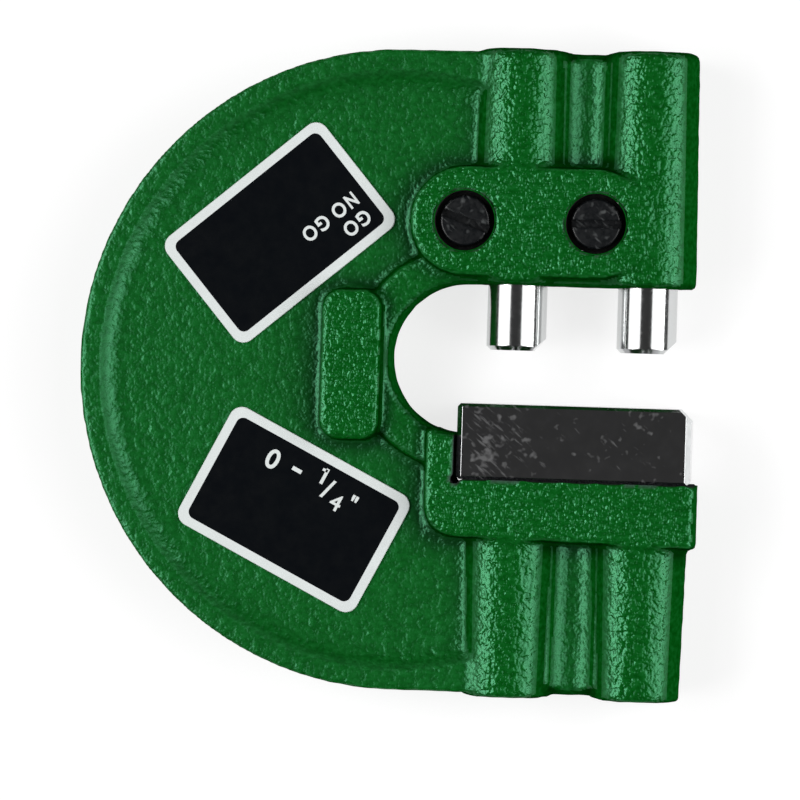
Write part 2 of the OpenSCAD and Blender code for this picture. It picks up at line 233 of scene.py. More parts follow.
@dataclass(frozen=True)
class Waves:
    """A smooth random field: a sum of plane waves with random directions and phases.

    Attributes:
        shortest: Shortest wavelength.
        longest: Longest wavelength.
        count: Number of waves.
        seed: Seed of the random numbers.
    """

    shortest: float
    longest: float
    count: int
    seed: int

    def at(self, points: Array) -> Array:
        """Value of the field, about -1 to 1, as the sum of sin(k . p + phase) over the waves.

        Args:
            points: Where to read it.

        Returns:
            One value a point.
        """
        rng = np.random.default_rng(self.seed)
        direction = rng.normal(size=(self.count, 3))
        direction /= np.linalg.norm(direction, axis=1, keepdims=True)
        length = np.geomspace(self.shortest, self.longest, self.count)[:, None]
        phase = rng.uniform(0, 2 * math.pi, self.count)
        total = np.zeros(len(points))
        for k, shift in zip(2 * math.pi * direction / length, phase):
            total += np.sin(points @ k + shift)
        return total / math.sqrt(self.count)


def surface_net(values: Array, origin: Array, step: float) -> Surface:
    """Draw the zero surface of a sampled field: one point in each cell that the surface crosses, at the mean of the
    crossings on the cell's edges, and one quad round each grid edge that it crosses.

    Args:
        values: Field at the grid points, negative inside.
        origin: Place of the first grid point.
        step: Spacing of the grid.

    Returns:
        The surface, facing outwards.
    """
    inside = values < 0
    shape = np.array(values.shape)
    corners = np.stack(np.meshgrid([0, 1], [0, 1], [0, 1], indexing="ij"), axis=-1).reshape(-1, 3)
    full = sum(inside[tuple(slice(o, o + n - 1) for o, n in zip(c, shape))].astype(np.int8) for c in corners)
    cells = np.argwhere((full > 0) & (full < 8))
    total, crossings = np.zeros(cells.shape), np.zeros(len(cells))
    for axis in range(3):
        along = np.eye(3, dtype=int)[axis]
        for corner in corners[corners[:, axis] == 0]:
            a = values[tuple((cells + corner).T)]
            b = values[tuple((cells + corner + along).T)]
            hit = (a < 0) != (b < 0)
            share = np.where(hit, a / np.where(hit, a - b, 1), 0)
            total += hit[:, None] * (corner + share[:, None] * along)
            crossings += hit
    number = np.full(shape - 1, -1)
    number[tuple(cells.T)] = np.arange(len(cells))
    quads = []
    for axis in range(3):
        along, u, v = (np.eye(3, dtype=int)[(axis + i) % 3] for i in range(3))
        start = inside[tuple(slice(0, n - a) for n, a in zip(shape, along))]
        end = inside[tuple(slice(a, n) for n, a in zip(shape, along))]
        edge = np.argwhere(start != end)
        ring = np.stack([number[tuple((edge - o).T)] for o in (u + v, v, 0 * u, u)], axis=1)
        outward = start[tuple(edge.T)][:, None]
        quads.append(np.where(outward, ring, ring[:, ::-1]))
    return Surface(origin + step * (cells + total / crossings[:, None]), np.concatenate(quads))


def slope(shape: Field, points: Array, reach: float) -> Array:
    """Gradient of a field by central differences.

    Args:
        shape: The field.
        points: Where to read it.
        reach: Distance to each side.

    Returns:
        One vector a point.
    """
    sides = [np.eye(3)[axis] * reach for axis in range(3)]
    return np.stack([shape(points + s) - shape(points - s) for s in sides], axis=1) / (2 * reach)


# What the frame says


@dataclass(frozen=True)
class NodeBox:
    """Box of a CAD node at rest.

    Attributes:
        lo: Lowest corner.
        hi: Highest corner.
    """

    lo: Vector
    hi: Vector

    @classmethod
    def of(cls, node: str) -> "NodeBox":
        """Box of the CAD node of that name."""
        return cls(*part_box(node))

    @property
    def centre(self) -> Vector:
        """Middle of the box."""
        return (self.lo + self.hi) / 2

    @property
    def size(self) -> Vector:
        """Length along each axis."""
        return self.hi - self.lo


# Finishes


class NodeTree:
    """Small helper that adds and links the nodes of one material."""

    def __init__(self, name: str) -> None:
        """Start a material with a principled shader.

        Args:
            name: Name of the material.
        """
        self.material = bpy.data.materials.new(name)
        self.material.use_nodes = True
        self.tree = self.material.node_tree
        self.shader = self.tree.nodes["Principled BSDF"]
        self.place = self.add("ShaderNodeTexCoord").outputs["Object"]

    def add(self, kind: str, inputs: dict | None = None, **settings: object) -> bpy.types.Node:
        """Add a node.

        Args:
            kind: Node type.
            inputs: Socket values, or outputs to link to them, by socket name or number.
            settings: Properties of the node.

        Returns:
            The new node.
        """
        node = self.tree.nodes.new(kind)
        for key, value in settings.items():
            setattr(node, key, value)
        for key, value in (inputs or {}).items():
            self.put(node.inputs[key], value)
        return node

    def put(self, socket: Socket, value: object) -> None:
        """Set a socket to a constant, or link an output to it.

        Args:
            socket: Input socket.
            value: Constant or output socket.
        """
        if isinstance(value, Socket):
            self.tree.links.new(value, socket)
        else:
            socket.default_value = value

    def set_shader(self, **values: object) -> None:
        """Set sockets of the principled shader.

        Args:
            values: Socket values with spaces written as underscores.
        """
        for key, value in values.items():
            self.put(self.shader.inputs[key.replace("_", " ")], value)

    def noise(self, grain: float, detail: float = 2.0, place: Socket | None = None) -> Socket:
        """Add a noise texture with features of a size, at the object's own coordinates if no place is given."""
        inputs = {"Vector": place or self.place, "Scale": 1 / grain, "Detail": detail}
        return self.add("ShaderNodeTexNoise", inputs).outputs[0]

    def mapped(self, **placing: Triple) -> Socket:
        """Read the object's coordinates in the axes of a pattern with this location, rotation and scale."""
        inputs = {"Vector": self.place, **placing}
        return self.add("ShaderNodeMapping", inputs, vector_type="TEXTURE").outputs["Vector"]

    def maths(self, operation: str, *values: Socket | float, clamp: bool = False) -> Socket:
        """Add a math node that reads constants or outputs, with its result held to 0 and 1 if clamped."""
        node = self.add("ShaderNodeMath", dict(enumerate(values)), operation=operation, use_clamp=clamp)
        return node.outputs[0]

    def ranged(self, value: Socket, source: Span, target: Span) -> Socket:
        """Map a value from the source range to the target range and hold it at the ends."""
        ends = dict(zip(("From Min", "From Max", "To Min", "To Max"), (*source, *target)))
        return self.add("ShaderNodeMapRange", {"Value": value, **ends}).outputs["Result"]

    def ramp(self, value: Socket, stops: list[tuple[float, tuple]]) -> Socket:
        """Add a colour ramp.

        Args:
            value: What it reads.
            stops: Place and colour of each stop.

        Returns:
            Its colour.
        """
        node = self.add("ShaderNodeValToRGB", {"Fac": value})
        elements = node.color_ramp.elements
        for element, (at, colour) in zip(elements, (stops[0], stops[-1])):
            element.position, element.color = at, (*colour, 1)
        for at, colour in stops[1:-1]:
            elements.new(at).color = (*colour, 1)
        return node.outputs["Color"]

    def mixed(self, share: Socket, first: object, second: object) -> Socket:
        """Mix two colours.

        Args:
            share: Share of the second colour.
            first: First colour, a constant or an output.
            second: Second colour.

        Returns:
            The mixed colour.
        """
        node = self.add("ShaderNodeMix", {"Factor": share}, data_type="RGBA")
        self.put(node.inputs[6], first)
        self.put(node.inputs[7], second)
        return node.outputs[2]

    def bump(
        self,
        height: Socket,
        depth: float,
        normal: Socket | None = None,
        strength: Socket | float = 1.0,
    ) -> Socket:
        """Add a bump node.

        Args:
            height: Height to read.
            depth: Depth of a full step of it.
            normal: Normal to start from.
            strength: Share of the bump that shows.

        Returns:
            The bumped normal.
        """
        inputs = {"Height": height, "Distance": depth, "Strength": strength}
        if normal is not None:
            inputs["Normal"] = normal
        return self.add("ShaderNodeBump", inputs).outputs["Normal"]


@dataclass(frozen=True)
class Enamel:
    """Thick glossy enamel over a rough casting, with painted shade: near-black where the casting was machined and
    darker in its corners.

    Attributes:
        name: Name of the material.
        gloss: Strength of the reflections, 0.5 for a whole coat.
        painted_corner_shade: Painted shade: a darker colour mixed into the corners of the casting, where they would
            lie in shade.
        dark: Colour of the texture's hollows.
        plain: Main colour.
        light: Colour of the crests.
        stops: Heights of the fine texture at which the last three lie.
        machined_shade: Near-black colour painted as shade on machined faces, which lie mostly inside bores.
        sheen: Colour of the reflections.
        refraction: Index of refraction, which sets how strong they are.
        gloss_roughness: Roughness of the enamel on the lands and bosses.
        web_roughness: Roughness on the web and rim.
        dull_roughness: Roughness on steep slopes.
        web_to_land: Strengths of the fine texture that stand for the web and for the lands.
        pebble: Size of the coarse texture.
        pebble_depth: Its depth.
        peel: Size of the fine texture.
        peel_depth: Its depth.
    """

    name: str = "green_enamel"
    gloss: float = 0.5
    painted_corner_shade: Triple = (0.0004, 0.030, 0.0018)
    dark: Triple = (0.0006, 0.070, 0.0038)
    plain: Triple = (0.0016, 0.092, 0.0070)
    light: Triple = (0.0050, 0.120, 0.0150)
    stops: Triple = (0.30, 0.50, 0.72)
    # Painted shade: machined faces, mostly inside the bores, are coloured near-black.
    machined_shade: Triple = (0.030, 0.032, 0.034)
    sheen: Triple = (0.27, 1.0, 0.54)
    refraction: float = 1.68
    gloss_roughness: float = 0.18
    web_roughness: float = 0.30
    dull_roughness: float = 0.7
    web_to_land: Span = (0.5, 0.7)
    pebble: float = 0.9 * MM
    pebble_depth: float = 0.08 * MM
    peel: float = 0.52 * MM
    peel_depth: float = 0.225 * MM

    def build(self) -> Material:
        """Make the material. It reads the attributes machined_shade, which is 1 on machined faces and paints a
        near-black shade on them, relief, the strength of the fine texture, hollow, which is 1 far into a corner and
        paints shade there, and dull, which is 1 on slopes where the coat ran thin.

        Returns:
            The material.
        """
        tree = NodeTree(self.name)
        pebble, peel = tree.noise(self.pebble, 2.0), tree.noise(self.peel, 1.0)
        hollow, machined_shade, relief, dull = (
            tree.add("ShaderNodeAttribute", attribute_name=name).outputs["Fac"]
            for name in ("hollow", "machined_shade", "relief", "dull")
        )
        tone = tree.ramp(peel, list(zip(self.stops, (self.dark, self.plain, self.light))))
        # Painted shade: the hollow attribute mixes a darker colour into the corners of the casting.
        tone = tree.mixed(hollow, tone, (*self.painted_corner_shade, 1))
        # Painted shade: machined faces take the near-black colour.
        tone = tree.mixed(machined_shade, tone, (*self.machined_shade, 1))
        rough = tree.ranged(relief, self.web_to_land, (self.web_roughness, self.gloss_roughness))
        rough = tree.add("ShaderNodeMix", {0: dull, 2: rough, 3: self.dull_roughness}).outputs[0]
        tree.set_shader(
            Base_Color=tone,
            Roughness=rough,
            Specular_IOR_Level=self.gloss,
            IOR=self.refraction,
            Specular_Tint=(*self.sheen, 1),
            Normal=tree.bump(peel, self.peel_depth, tree.bump(pebble, self.pebble_depth), relief),
        )
        return tree.material


@dataclass(frozen=True)
class Dust:
    """Specks of dust and fine slanting scratches, thicker in some patches than in others.

    Attributes:
        colour: Colour of the dust.
        start: Height of its pattern from which it shows.
        share: Share of the metal that it hides at most.
        smear_at: Middle of a smear where it is thicker, none if absent.
        smear_r: Reach of the smear.
        smear_gain: How much the smear adds to the pattern.
        speck: Size of the specks.
        scratch: Size of the scratches before they are drawn out.
        scratch_turn: Turn of the scratches about Z.
        scratch_stretch: Stretching of the scratches in their own axes.
        patch: Size of the patches.
        patch_gain: How much the patches add to the pattern.
    """

    colour: Triple
    start: float
    share: float = 0.6
    smear_at: Triple | None = None
    smear_r: float = 7.0 * MM
    smear_gain: float = 0.13
    speck: float = 0.8 * MM
    scratch: float = 0.9 * MM
    scratch_turn: float = 0.87
    scratch_stretch: Triple = (0.35, 2.2, 1.0)
    patch: float = 6.0 * MM
    patch_gain: float = 0.3

    def cover(self, tree: NodeTree) -> Socket:
        """Add the pattern: the higher of specks and scratches, plus the patches and the smear.

        Args:
            tree: The material's nodes.

        Returns:
            Share of the metal that the dust hides.
        """
        slant = tree.mapped(Rotation=(0, 0, self.scratch_turn), Scale=self.scratch_stretch)
        height = tree.maths("MAXIMUM", tree.noise(self.speck, 1.0), tree.noise(self.scratch, 3.0, slant))
        height = tree.maths("MULTIPLY_ADD", tree.noise(self.patch, 1.0), self.patch_gain, height)
        if self.smear_at is not None:
            local = tree.mapped(Location=self.smear_at, Scale=(self.smear_r,) * 3)
            near = tree.add("ShaderNodeTexGradient", {"Vector": local}, gradient_type="SPHERICAL").outputs["Fac"]
            height = tree.maths("MULTIPLY_ADD", near, self.smear_gain, height)
        return tree.ranged(height, (self.start, 1.0), (0.0, self.share))


@dataclass(frozen=True)
class Metal:
    """Ground or blackened steel with fine marks.

    Attributes:
        name: Name of the material.
        colour: Colour of the metal.
        metallic: Share of metal in the shader.
        roughness: Mean roughness.
        spread: How far the roughness goes up and down.
        mark: Size of the marks.
        mark_depth: Depth of the marks.
        stretch: Stretching of the marks along X, Y and Z.
        dust: Dust and scratches on it, none if absent.
    """

    name: str
    colour: Triple
    metallic: float = 1.0
    roughness: float = 0.2
    spread: float = 0.08
    mark: float = 0.5 * MM
    mark_depth: float = 0.001 * MM
    stretch: Triple = (1.0, 1.0, 1.0)
    dust: Dust | None = None

    def build(self) -> Material:
        """Make the material.

        Returns:
            The material.
        """
        tree = NodeTree(self.name)
        marks = tree.noise(self.mark, 4.0, tree.mapped(Scale=self.stretch))
        smooth, rough = (max(self.roughness + side * self.spread, LEAST_ROUGHNESS) for side in (-1, 1))
        tree.set_shader(
            Base_Color=(*self.colour, 1),
            Metallic=self.metallic,
            Roughness=tree.ranged(marks, NOISE_SPAN, (smooth, rough)),
            Normal=tree.bump(marks, self.mark_depth),
        )
        if self.dust is not None:
            cover = self.dust.cover(tree)
            tree.set_shader(
                Base_Color=tree.mixed(cover, (*self.colour, 1), (*self.dust.colour, 1)),
                Metallic=tree.maths("SUBTRACT", self.metallic, cover, clamp=True),
            )
        return tree.material


@dataclass(frozen=True)
class Print:
    """Printed colour of a label with a thin, uneven film of dust.

    Attributes:
        name: Name of the material.
        colour: Colour of the print.
        dusty: Its colour where the dust lies.
        roughness: Its roughness.
        spread: How far the roughness goes up under the dust.
        film: Size of the film's patches.
        film_span: Heights of their pattern between which the film gets whole.
    """

    name: str
    colour: Triple
    dusty: Triple
    roughness: float = 0.3
    spread: float = 0.05
    film: float = 1.2 * MM
    film_span: Span = (0.3, 0.8)

    def build(self) -> Material:
        """Make the material.

        Returns:
            The material.
        """
        tree = NodeTree(self.name)
        film = tree.ranged(tree.noise(self.film, 4.0), self.film_span, (0.0, 1.0))
        tree.set_shader(
            Base_Color=tree.mixed(film, (*self.colour, 1), (*self.dusty, 1)),
            Roughness=tree.ranged(film, (0.0, 1.0), (self.roughness, self.roughness + self.spread)),
        )
        return tree.material


def fit(obj: Object, body: str, slot: Slot, *materials: Material) -> Object:
    """Give a new piece its finish and the body that it rides on.

    Args:
        obj: The piece.
        body: CAD body to ride on.
        slot: Slot of the record; not used.
        materials: Its materials.

    Returns:
        The piece.
    """
    obj.data.materials.clear()
    for material in materials:
        obj.data.materials.append(material)
    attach(obj, body)
    LOG.info("%s: %d faces, rides on %s", obj.name, len(obj.data.polygons), body)
    return obj


def carry_over(node: str, material: Material) -> None:
    """Show a CAD node as it is, with a finish of its own.

    Args:
        node: Name of the CAD node.
        material: Its material.
    """
    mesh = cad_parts[node].data
    mesh.materials.clear()
    mesh.materials.append(material)
    LOG.info("%s: CAD mesh with %s", node, material.name)


def face_vectors(mesh: bpy.types.Mesh, name: str) -> Array:
    """Read a vector of each face of a mesh.

    Args:
        mesh: The mesh.
        name: Name of the faces' property.

    Returns:
        One row a face.
    """
    flat = np.empty(3 * len(mesh.polygons), dtype=np.float32)
    mesh.polygons.foreach_get(name, flat)
    return flat.reshape(-1, 3).astype(float)


# Sub-assemblies


@dataclass
class CastFrame:
    """The C-shaped casting, drawn as one as-cast skin with filled corners and an uneven surface.

    Lengths in the fields are the casting's own; the places of the pins, clamps and anvil come from the frame. In a
    field's name t is a thickness, w a width, h a height, r a radius and edge the radius of an edge. The centre land
    is given as width, height and corner radius, a boss as radius at its root and tip and rounding of its end, and the
    notch of the web between two bosses as its depth on the upper and on the lower arm. Relief is the strength of the
    enamel's fine texture. The wall and gloss slopes are shares of a face's direction along Z: below the first it is a
    wall, above the second the enamel has its full gloss.
    """

    # Rim and web
    rim_t: float = 6.8 * MM
    rim_w: float = 2.1 * MM
    rim_slope: float = 1.3 * MM
    rim_edge: float = 0.4 * MM
    web_t: float = 4.6 * MM
    # Throat and the bead round it
    throat_r: float = 7.95 * MM
    throat_at: Span = (7.1 * MM, 1.35 * MM)
    throat_edge: float = 0.9 * MM
    bead_w: float = 3.9 * MM
    bead_t: float = 7.2 * MM
    bead_edge: float = 0.7 * MM
    # Lands
    land_edge: float = 0.5 * MM
    draft: float = 0.05
    centre_land: Triple = (6.2 * MM, 15.7 * MM, 2.0 * MM)
    centre_land_drop: float = 0.9 * MM
    centre_land_gap: float = 0.85 * MM
    clamp_land_r: float = 5.7 * MM
    seat_gap: float = 0.3 * MM
    seat_wall_w: float = 2.85 * MM
    seat_relief: float = 0.5 * MM
    shelf_h: float = 5.95 * MM
    shelf_slope: float = math.radians(1.2)
    shelf_over: float = 0.5 * MM
    shelf_round: float = 3.57 * MM
    # Bosses and the web between them
    upper_boss: Triple = (5.1 * MM, 4.75 * MM, 1.0 * MM)
    lower_boss: Triple = (5.05 * MM, 4.5 * MM, 0.5 * MM)
    boss_over: float = 0.35 * MM
    boss_square: float = 2.4
    web_notch: Span = (0.2 * MM, 0.2 * MM)
    web_bevel: float = 1.2 * MM
    valley_t: float = 2.4 * MM
    # Bores: gap round each piece, and how far a bore reaches past it
    pin_fit: float = 0.04 * MM
    pin_rise: float = 1.0 * MM
    bore_room: float = 0.12 * MM
    clamp_room: float = 0.04 * MM
    anvil_head_room: float = 0.3 * MM
    anvil_head_h: float = 2.0 * MM
    anvil_shank_r: float = 1.7 * MM
    # Lengths over which the corners are filled
    web_fillet: float = 0.8 * MM
    boss_fillet: float = 0.6 * MM
    land_fillet: float = 0.7 * MM
    # Grid of the skin, its margin and grain band in steps, and how its points are drawn onto the shape
    step: float = 0.38 * MM
    margin: float = 2.5
    band: float = 3.0
    rounds: int = 2
    slope_reach: float = 0.02 * MM
    least_slope: float = 0.25
    crease: float = math.radians(50)
    grain: Waves = field(default_factory=lambda: Waves(1.3 * MM, 3.0 * MM, 22, 5))
    grain_depth: float = 0.02 * MM
    # What the enamel reads
    cut_edge: float = 0.03 * MM
    web_relief: float = 0.5
    boss_relief: float = 0.85
    facing_reach: float = 0.05 * MM
    wall_slope: float = 0.7
    gloss_slope: float = 0.88
    # Painted shade in corners: the distances at which a corner is measured, and how strongly it darkens the colour
    corner_shade_reach: Span = (0.8 * MM, 2.8 * MM)
    corner_shade_gain: float = 2.2

    def __post_init__(self) -> None:
        """Read the places of the other pieces from the frame."""
        self.box = NodeBox.of("frame")
        self.anvil = NodeBox.of("anvil_block")
        self.pins = {side: NodeBox.of(f"{side.value}_pin") for side in Side}
        self.clamps = {side: NodeBox.of(f"{side.value}_clamp_screw") for side in Side}
        self.r = self.box.hi.y - self.boss_over
        self.middle = np.array([self.box.lo.x + self.r, 0.0, self.box.centre.z])
        self.half_land = self.box.size.z / 2
        self.inner_x, self.outer_x = (self.pins[s].centre.x - self.middle[0] for s in (Side.NO_GO, Side.GO))
        self.seat_y = self.anvil.lo.y
        self.seat_x = self.anvil.lo.x - self.middle[0] - self.seat_gap

    def local(self, points: Array) -> Place:
        """Split points into X and Y from the casting's middle and height above its middle plane, never negative."""
        x, y, z = np.ascontiguousarray((points - self.middle).T)
        return x, y, np.abs(z)

    def throat(self, x: Array, y: Array) -> Array:
        """Distance to the U-shaped throat in plan, negative in the open throat."""
        dx, dy = x - self.throat_at[0], y - self.throat_at[1]
        return np.where(dx < 0, np.hypot(dx, dy), np.abs(dy)) - self.throat_r

    def plate(self, at: Place) -> Array:
        """Distance to the web, its raised rim and the bevelled web between the bosses of each arm: the smaller of web
        and rim up to the inner bosses, and beyond them a slab with slanting ends and the hollow cut from it.

        Args:
            at: Where to read it, as local gives it.

        Returns:
            One value a point, negative inside.
        """
        x, y, z = at
        outline = np.where(x < 0, np.hypot(x, y), np.abs(y)) - self.r
        rise = (self.rim_t - self.web_t) / 2
        foot = self.r - self.rim_w - self.rim_slope * (self.rim_t / 2 - z) / rise
        wall = (foot - np.hypot(x, y)) * rise / math.hypot(rise, self.rim_slope)
        rim = np.maximum(slab(outline, z, self.rim_t / 2, self.rim_edge), wall)
        web = np.maximum(outline + self.rim_w / 2, z - self.web_t / 2)
        main = np.maximum(smooth_min(web, rim, self.web_fillet), x - self.inner_x)
        lean = self.web_bevel / (self.web_t / 2)
        end = self.r + self.boss_over - np.where(y > 0, *self.web_notch) - lean * z
        ended = (np.abs(y) - end) / math.hypot(1, lean)
        arm = np.maximum.reduce([z - self.web_t / 2, ended, x - self.outer_x, self.inner_x - x, self.valley(at)])
        return np.minimum(main, arm)

    def valley(self, at: Place) -> Array:
        """Distance into the hollow between the bosses of an arm: a circle that touches both bosses and leaves the
        arm's least thickness, carried along Y.

        Args:
            at: Where to read it, as local gives it.

        Returns:
            One value a point, positive in the hollow.
        """
        x, y, z = at
        wall, t = 2 * np.where(y > 0, self.upper_boss[0], self.lower_boss[0]), self.valley_t
        r = ((self.outer_x - self.inner_x) ** 2 + t**2 - wall**2) / (4 * (wall - t))
        return r - np.hypot(x - (self.inner_x + self.outer_x) / 2, z - t / 2 - r)

    def bosses(self, at: Place) -> Array:
        """Distance to the two tapered bosses on each arm, along Y with rounded ends. Each is a circle in section that
        is drawn out a little towards a square: (dx^n + z^n)^(1/n) = r.

        Args:
            at: Where to read it, as local gives it.

        Returns:
            One value a point, negative inside.
        """
        x, y, z = at
        end = self.r + self.boss_over
        out = np.full(x.shape, np.inf)
        for base, towards, (root, tip, edge) in (
            (self.throat_at[1] + self.throat_r, 1, self.upper_boss),
            (self.seat_y, -1, self.lower_boss),
        ):
            along = towards * (y - base)
            length = end - towards * base
            r = root + (tip - root) * along / length
            for axis in (self.inner_x, self.outer_x):
                across = (np.abs(x - axis) ** self.boss_square + z**self.boss_square) ** (1 / self.boss_square)
                cone = smooth_max(across - r, along - length, edge)
                out = np.minimum(out, np.maximum(cone, -along - self.land_edge))
        return out

    def lands(self, at: Place) -> Array:
        """Distance to the raised lands round the clamps, behind the throat and under and beside the anvil: the plan
        of each, which widens downwards by the draft, as a slab.

        Args:
            at: Where to read it, as local gives it.

        Returns:
            One value a point, negative inside.
        """
        x, y, z = at
        lean = self.draft * (z - self.half_land)
        dx = x - np.clip(x, *(self.clamps[s].centre.x - self.middle[0] for s in (Side.NO_GO, Side.GO)))
        clamp_plan = np.hypot(dx, y - self.clamps[Side.GO].centre.y) - self.clamp_land_r
        w, h, corner = self.centre_land
        ax = np.abs(x - (self.throat_at[0] - self.throat_r - self.centre_land_gap - w / 2)) - w / 2 + corner
        ay = np.abs(y - self.throat_at[1] + self.centre_land_drop) - h / 2 + corner
        centre_plan = np.hypot(np.maximum(ax, 0), np.maximum(ay, 0)) + np.minimum(np.maximum(ax, ay), 0) - corner
        left = self.seat_x - self.seat_wall_w - x
        bottom = self.seat_y - self.shelf_h - math.tan(self.shelf_slope) * (x - self.seat_x + self.seat_wall_w) - y
        seat_plan = smooth_max(left, bottom, self.shelf_round)
        right = x - (self.anvil.hi.x - self.middle[0] + self.shelf_over)
        top = y - self.throat_at[1] + self.throat_r / 2
        seat_plan = np.maximum(smooth_max(seat_plan, right, self.land_edge), top)
        plans = (clamp_plan, centre_plan, seat_plan)
        return np.minimum.reduce([slab(p + lean, z, self.half_land, self.land_edge) for p in plans])

    def form(self, points: Array) -> Array:
        """Distance to the casting before machining, without its grain: the smallest of the distances to its forms,
        with the corners between them filled, and the throat cut from it.

        Args:
            points: Where to read it.

        Returns:
            One value a point, negative inside.
        """
        x, y, z = at = self.local(points)
        throat = self.throat(x, y)
        bead = np.maximum(slab(throat - self.bead_w, z, self.bead_t / 2, self.bead_edge), x - self.outer_x)
        body = smooth_min(self.plate(at), bead, self.web_fillet)
        body = smooth_min(body, self.bosses(at), self.boss_fillet)
        body = smooth_min(body, self.lands(at), self.land_fillet)
        body = smooth_max(body, z - self.half_land, self.land_edge / 2)
        return smooth_max(body, -throat, self.throat_edge)

    def cast(self, points: Array) -> Array:
        """Distance to the casting before machining, with the grain that the sand leaves taken from it near the skin.

        Args:
            points: Where to read it.

        Returns:
            One value a point, negative inside.
        """
        body = self.form(points)
        near = np.abs(body) < self.band * self.step
        body[near] -= self.grain_depth * self.grain.at(points[near])
        return body

    def machined(self, points: Array) -> Array:
        """Distance to what is machined away, the smallest of those to the anvil's seat and the bores.

        Args:
            points: Where to read it.

        Returns:
            One value a point, negative in a cut.
        """
        x, y, z = self.local(points)
        seat = np.maximum(np.maximum(self.seat_x - x, self.seat_y - y), y - self.throat_at[1])
        relief = np.hypot(x - self.seat_x - self.seat_relief / 2, y - self.seat_y) - self.seat_relief
        cuts = [seat, relief]
        for side in Side:
            pin, clamp = self.pins[side], self.clamps[side]
            axis = np.hypot(x - (pin.centre.x - self.middle[0]), z)
            adjust = NodeBox.of(f"{side.value}_adjusting_screw")
            top = pin.hi.y + self.pin_rise
            cuts.append(np.maximum(axis - pin.size.x / 2 - self.pin_fit, np.maximum(y - top, -y)))
            cuts.append(np.maximum(axis - adjust.size.x / 2 - self.bore_room, top - y))
            reach = np.hypot(x - (clamp.centre.x - self.middle[0]), y - clamp.centre.y)
            cuts.append(reach - NodeBox.of(f"{side.value}_clamp_nut").size.x / 2 - self.clamp_room)
        for node in ("inner_anvil_screw", "outer_anvil_screw"):
            screw = NodeBox.of(node)
            axis = np.hypot(x - (screw.centre.x - self.middle[0]), z)
            head = axis - screw.size.x / 2 - self.anvil_head_room
            cuts.append(np.maximum(head, y - screw.lo.y - self.anvil_head_h))
            cuts.append(np.maximum(axis - self.anvil_shank_r, y))
        return np.minimum.reduce(cuts)

    def is_machined(self, points: Array) -> Array:
        """Whether points on the skin lie on a cut rather than on the cast surface."""
        return -self.machined(points) > self.cast(points) + self.cut_edge

    def shape(self, points: Array) -> Array:
        """Distance to the finished casting, negative inside."""
        return np.maximum(self.cast(points), -self.machined(points))

    def skin(self) -> Surface:
        """Sample the shape on a grid, draw its surface and move each point by distance / slope^2 along the slope.

        Returns:
            The skin.
        """
        lo = np.array(self.box.lo) - self.margin * self.step
        counts = np.ceil((np.array(self.box.hi) + self.margin * self.step - lo) / self.step).astype(int) + 1
        axes = [lo[i] + self.step * np.arange(counts[i]) for i in range(3)]
        points = np.stack(np.meshgrid(*axes, indexing="ij"), axis=-1).reshape(-1, 3)
        net = surface_net(self.shape(points).reshape(counts), lo, self.step)
        for _ in range(self.rounds):
            normal = slope(self.shape, net.points, self.slope_reach)
            off = np.clip(self.shape(net.points), -self.step / 2, self.step / 2)
            net.points -= (off / np.maximum((normal**2).sum(axis=1), self.least_slope))[:, None] * normal
        return net

    def facing(self, points: Array) -> Array:
        """Direction that the casting faces near points on it, as the unit gradient of its form."""
        normal = slope(self.form, points, self.facing_reach)
        return normal / np.maximum(np.linalg.norm(normal, axis=1, keepdims=True), 1e-6)

    def coat(self, points: Array) -> dict[str, Array]:
        """Work out what the enamel reads on the skin: machined faces, which take a near-black painted shade, relief,
        corners, into which shade is painted, and dull slopes. Relief grows with the height above the rim, and a point
        lies in a corner by how much nearer the casting is, at some distances out from it, than it would be from a flat
        face.

        Args:
            points: Points on the skin.

        Returns:
            One value a point under each attribute's name.
        """
        at = self.local(points)
        rise = (at[2] - self.rim_t / 2) / (self.half_land - self.rim_t / 2)
        relief = self.web_relief + (1 - self.web_relief) * np.clip(rise, 0, 1)
        relief = np.where(self.bosses(at) < self.lands(at), np.minimum(relief, self.boss_relief), relief)
        normal = self.facing(points)
        # Painted shade: how far each point lies in a corner, which darkens the enamel's colour there.
        free = [np.clip(self.form(points + d * normal) / d, 0, 1) for d in self.corner_shade_reach]
        hollow = np.clip(self.corner_shade_gain * (1 - np.mean(free, axis=0)), 0, 1)
        # Painted shade: marks the machined faces that take the near-black colour.
        machined_shade = self.is_machined(points).astype(float)
        dull = np.maximum(np.interp(np.abs(normal[:, 2]), (self.wall_slope, self.gloss_slope), (1, 0)), machined_shade)
        return {"machined_shade": machined_shade, "relief": relief, "hollow": hollow, "dull": dull}

    def build(self, enamel: Material, wall_enamel: Material) -> Object:
        """Make the skin in place of the CAD casting.

        Args:
            enamel: Its material.
            wall_enamel: The material of its steep walls.

        Returns:
            The piece.
        """
        skin = self.skin()
        obj = skin.to_object("cast_skin", self.crease)
        for name, values in self.coat(skin.points).items():
            attribute = obj.data.attributes.new(name, "FLOAT", "POINT")
            attribute.data.foreach_set("value", values.astype(np.float32))
        fit(obj, "frame", Slot.ENAMEL, enamel, wall_enamel)
        centres = face_vectors(obj.data, "center")
        steep = (np.abs(self.facing(centres)[:, 2]) < self.wall_slope) | self.is_machined(centres)
        obj.data.polygons.foreach_set("material_index", steep.astype(np.int32))
        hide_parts("frame")
        return obj


